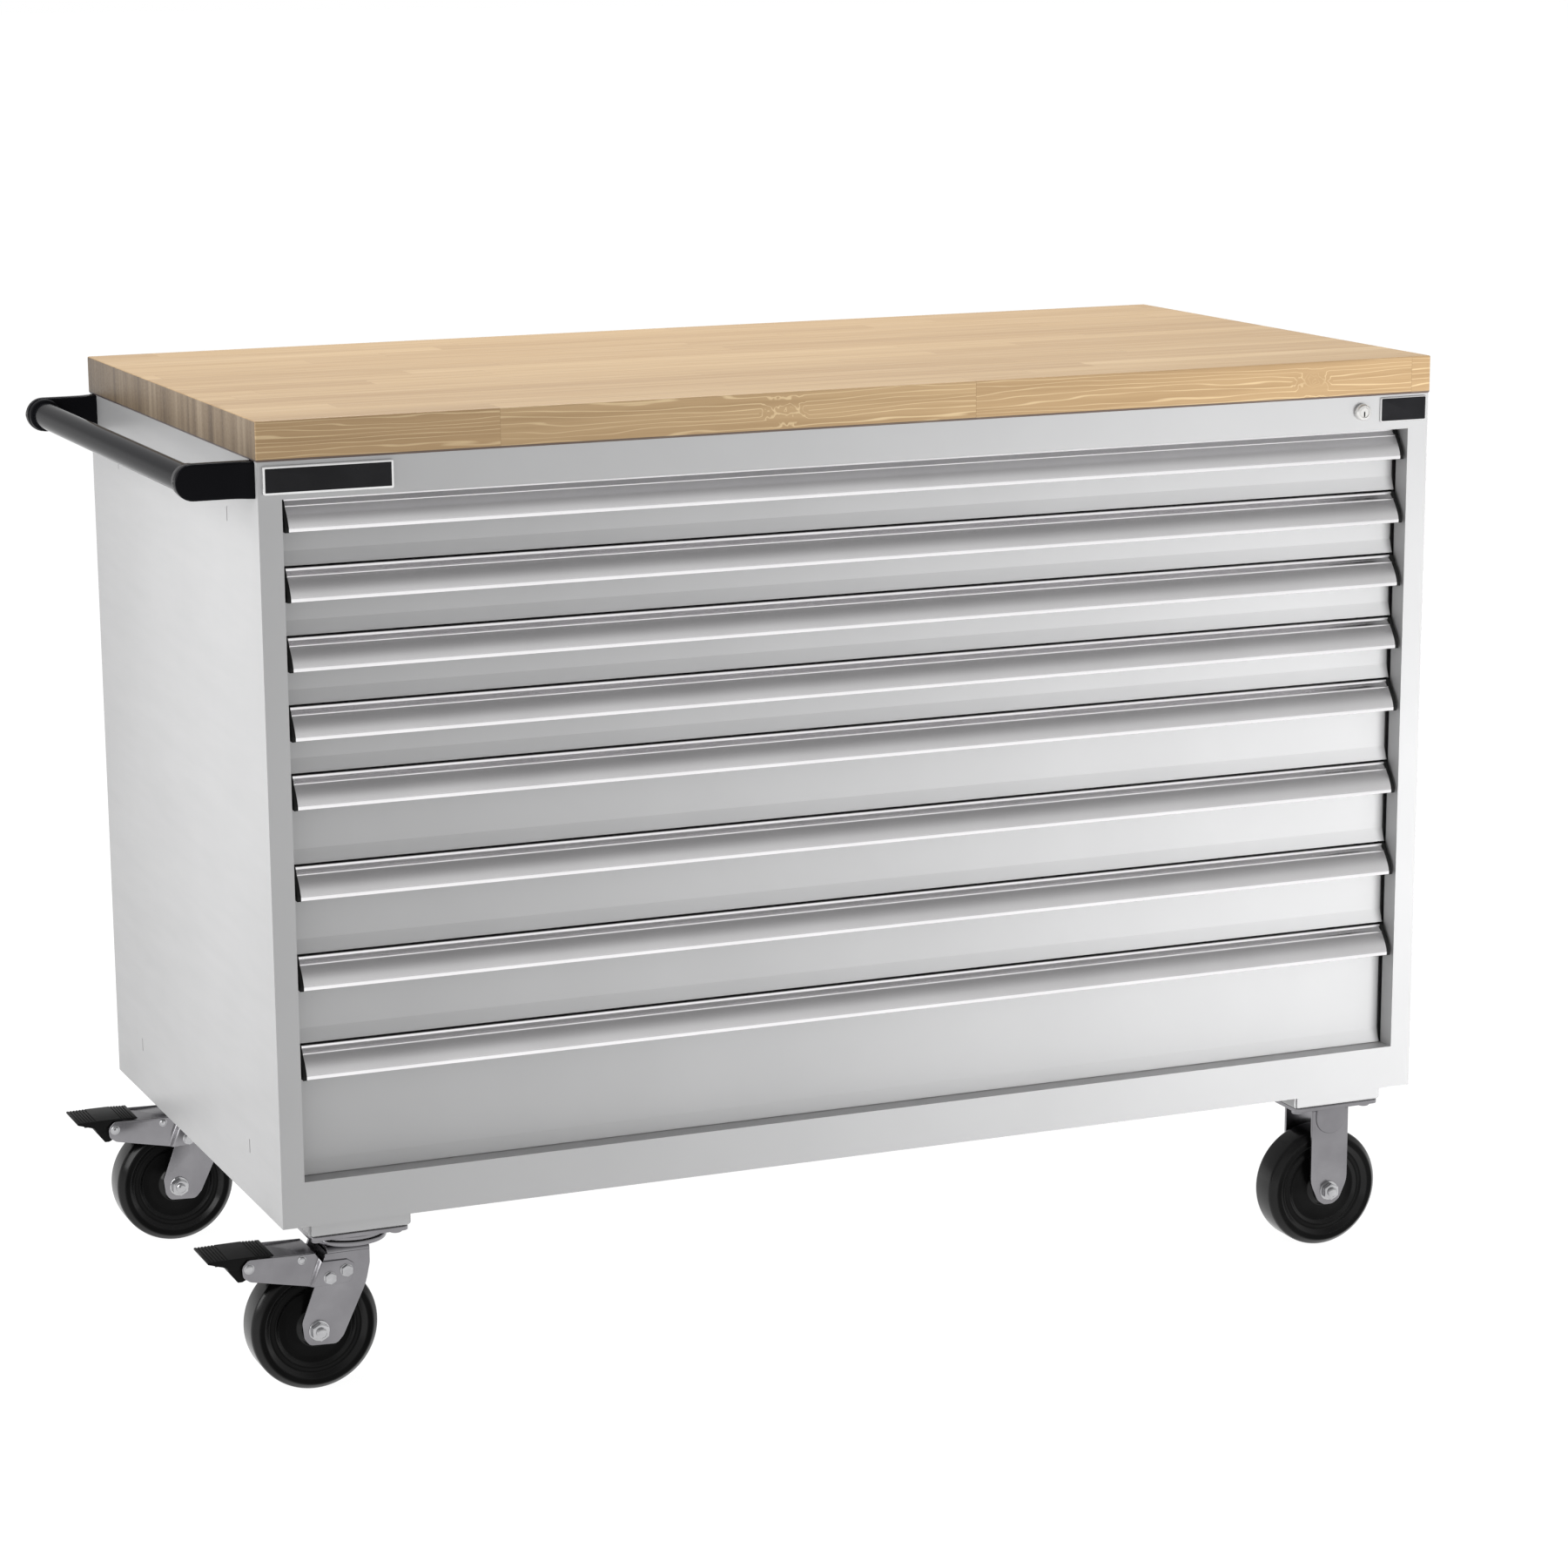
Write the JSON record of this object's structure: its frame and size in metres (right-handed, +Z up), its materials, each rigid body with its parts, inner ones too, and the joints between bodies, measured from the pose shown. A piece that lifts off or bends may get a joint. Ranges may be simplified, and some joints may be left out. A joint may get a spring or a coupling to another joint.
{
  "type": "rolling tool chest",
  "caption": "Wide rolling steel tool chest with full-width drawers, a butcher-block worktop, a side push handle, rigid casters and braked swivel casters.",
  "frame": {"origin": "on the floor, under the middle of the whole object's box", "axes": "+Z up, the drawers open towards -Y, the push handle is at -X"},
  "size_m": [1.5209, 0.7294, 1.1001],
  "materials": {
    "grey_paint": "semi-gloss powder coat",
    "maple": "oiled butcher block",
    "aluminium": "satin anodised",
    "black_plastic": "moulded satin",
    "zinc_steel": "bright zinc plate",
    "lock_metal": "pale satin",
    "badge_plastic": "gloss with a bright rim",
    "black_paint": "gloss powder coat",
    "phenolic": "moulded gloss"
  },
  "bodies": {
    "cabinet": {"left_side_panel": "grey_paint", "right_side_panel": "grey_paint", "back_panel": "grey_paint", "front_header": "grey_paint", "base_pan": "grey_paint", "caster_channels": "grey_paint", "worktop": "maple", "slide_columns": "grey_paint", "lock_housing": "lock_metal", "badge_plates": "badge_plastic", "push_handle": "black_paint", "swivel_plates": "zinc_steel", "rigid_forks": "zinc_steel", "cabinet_fasteners": "zinc_steel"},
    "lock_plug": {"lock_plug": "lock_metal"},
    "lock_bar": {"lock_bar": "zinc_steel"},
    "drawer_1": {"drawer_1_tray": "grey_paint", "drawer_1_pull": "aluminium", "drawer_1_caps": "black_plastic"},
    "carriage_1": {"carriage_1": "zinc_steel"},
    "drawer_2": {"drawer_2_tray": "grey_paint", "drawer_2_pull": "aluminium", "drawer_2_caps": "black_plastic"},
    "carriage_2": {"carriage_2": "zinc_steel"},
    "drawer_3": {"drawer_3_tray": "grey_paint", "drawer_3_pull": "aluminium", "drawer_3_caps": "black_plastic"},
    "carriage_3": {"carriage_3": "zinc_steel"},
    "drawer_4": {"drawer_4_tray": "grey_paint", "drawer_4_pull": "aluminium", "drawer_4_caps": "black_plastic"},
    "carriage_4": {"carriage_4": "zinc_steel"},
    "drawer_5": {"drawer_5_tray": "grey_paint", "drawer_5_pull": "aluminium", "drawer_5_caps": "black_plastic"},
    "carriage_5": {"carriage_5": "zinc_steel"},
    "drawer_6": {"drawer_6_tray": "grey_paint", "drawer_6_pull": "aluminium", "drawer_6_caps": "black_plastic"},
    "carriage_6": {"carriage_6": "zinc_steel"},
    "drawer_7": {"drawer_7_tray": "grey_paint", "drawer_7_pull": "aluminium", "drawer_7_caps": "black_plastic"},
    "carriage_7": {"carriage_7": "zinc_steel"},
    "drawer_8": {"drawer_8_tray": "grey_paint", "drawer_8_pull": "aluminium", "drawer_8_caps": "black_plastic"},
    "carriage_8": {"carriage_8": "zinc_steel"},
    "front_caster": {"front_fork": "zinc_steel", "front_brake_arm": "zinc_steel", "front_bolts": "zinc_steel"},
    "front_pedal": {"front_pedal": "black_plastic"},
    "front_left_wheel": {"front_left_wheel": "phenolic"},
    "front_right_wheel": {"front_right_wheel": "phenolic"},
    "rear_caster": {"rear_fork": "zinc_steel", "rear_brake_arm": "zinc_steel", "rear_bolts": "zinc_steel"},
    "rear_pedal": {"rear_pedal": "black_plastic"},
    "rear_left_wheel": {"rear_left_wheel": "phenolic"},
    "rear_right_wheel": {"rear_right_wheel": "phenolic"}
  },
  "joints": [
    {"name": "lock_turn", "type": "hinge", "parent": "cabinet", "child": "lock_plug", "pos_m": [0.6686, -0.35675, 1.0381], "axis": [0, 1, 0], "range_deg": [0, 90]},
    {"name": "lock_bar_slide", "type": "slide", "parent": "cabinet", "child": "lock_bar", "axis": [1, 0, 0], "range_m": [0, 0.01414]},
    {"name": "drawer_1_slide", "type": "slide", "parent": "cabinet", "child": "drawer_1", "axis": [0, -1, 0], "range_m": [0, 0.62]},
    {"name": "carriage_1_slide", "type": "slide", "parent": "cabinet", "child": "carriage_1", "axis": [0, -1, 0], "range_m": [0, 0.3101]},
    {"name": "drawer_2_slide", "type": "slide", "parent": "cabinet", "child": "drawer_2", "axis": [0, -1, 0], "range_m": [0, 0.62]},
    {"name": "carriage_2_slide", "type": "slide", "parent": "cabinet", "child": "carriage_2", "axis": [0, -1, 0], "range_m": [0, 0.3101]},
    {"name": "drawer_3_slide", "type": "slide", "parent": "cabinet", "child": "drawer_3", "axis": [0, -1, 0], "range_m": [0, 0.62]},
    {"name": "carriage_3_slide", "type": "slide", "parent": "cabinet", "child": "carriage_3", "axis": [0, -1, 0], "range_m": [0, 0.3101]},
    {"name": "drawer_4_slide", "type": "slide", "parent": "cabinet", "child": "drawer_4", "axis": [0, -1, 0], "range_m": [0, 0.62]},
    {"name": "carriage_4_slide", "type": "slide", "parent": "cabinet", "child": "carriage_4", "axis": [0, -1, 0], "range_m": [0, 0.3101]},
    {"name": "drawer_5_slide", "type": "slide", "parent": "cabinet", "child": "drawer_5", "axis": [0, -1, 0], "range_m": [0, 0.62]},
    {"name": "carriage_5_slide", "type": "slide", "parent": "cabinet", "child": "carriage_5", "axis": [0, -1, 0], "range_m": [0, 0.3101]},
    {"name": "drawer_6_slide", "type": "slide", "parent": "cabinet", "child": "drawer_6", "axis": [0, -1, 0], "range_m": [0, 0.62]},
    {"name": "carriage_6_slide", "type": "slide", "parent": "cabinet", "child": "carriage_6", "axis": [0, -1, 0], "range_m": [0, 0.3101]},
    {"name": "drawer_7_slide", "type": "slide", "parent": "cabinet", "child": "drawer_7", "axis": [0, -1, 0], "range_m": [0, 0.62]},
    {"name": "carriage_7_slide", "type": "slide", "parent": "cabinet", "child": "carriage_7", "axis": [0, -1, 0], "range_m": [0, 0.3101]},
    {"name": "drawer_8_slide", "type": "slide", "parent": "cabinet", "child": "drawer_8", "axis": [0, -1, 0], "range_m": [0, 0.62]},
    {"name": "carriage_8_slide", "type": "slide", "parent": "cabinet", "child": "carriage_8", "axis": [0, -1, 0], "range_m": [0, 0.3101]},
    {"name": "front_swivel", "type": "hinge", "parent": "cabinet", "child": "front_caster", "pos_m": [-0.5835, -0.29475, 0.1736], "axis": [0, 0, 1], "continuous": true},
    {"name": "front_pedal_press", "type": "hinge", "parent": "front_caster", "child": "front_pedal", "pos_m": [-0.7075, -0.29475, 0.1553], "axis": [0, -1, 0], "range_deg": [0, 12]},
    {"name": "front_left_roll", "type": "hinge", "parent": "front_caster", "child": "front_left_wheel", "pos_m": [-0.63, -0.29475, 0.074], "axis": [0, 1, 0], "continuous": true},
    {"name": "front_right_roll", "type": "hinge", "parent": "cabinet", "child": "front_right_wheel", "pos_m": [0.6665, -0.29475, 0.074], "axis": [0, 1, 0], "continuous": true},
    {"name": "rear_swivel", "type": "hinge", "parent": "cabinet", "child": "rear_caster", "pos_m": [-0.5835, 0.30125, 0.1736], "axis": [0, 0, 1], "continuous": true},
    {"name": "rear_pedal_press", "type": "hinge", "parent": "rear_caster", "child": "rear_pedal", "pos_m": [-0.7075, 0.30125, 0.1553], "axis": [0, -1, 0], "range_deg": [0, 12]},
    {"name": "rear_left_roll", "type": "hinge", "parent": "rear_caster", "child": "rear_left_wheel", "pos_m": [-0.63, 0.30125, 0.074], "axis": [0, 1, 0], "continuous": true},
    {"name": "rear_right_roll", "type": "hinge", "parent": "cabinet", "child": "rear_right_wheel", "pos_m": [0.6665, 0.30125, 0.074], "axis": [0, 1, 0], "continuous": true}
  ],
  "couplings": [
    {"joint": "lock_turn", "follows": "lock_bar_slide", "rad_per_m": 111.07},
    {"joint": "carriage_1_slide", "follows": "drawer_1_slide", "ratio": 0.5},
    {"joint": "carriage_2_slide", "follows": "drawer_2_slide", "ratio": 0.5},
    {"joint": "carriage_3_slide", "follows": "drawer_3_slide", "ratio": 0.5},
    {"joint": "carriage_4_slide", "follows": "drawer_4_slide", "ratio": 0.5},
    {"joint": "carriage_5_slide", "follows": "drawer_5_slide", "ratio": 0.5},
    {"joint": "carriage_6_slide", "follows": "drawer_6_slide", "ratio": 0.5},
    {"joint": "carriage_7_slide", "follows": "drawer_7_slide", "ratio": 0.5},
    {"joint": "carriage_8_slide", "follows": "drawer_8_slide", "ratio": 0.5}
  ]
}
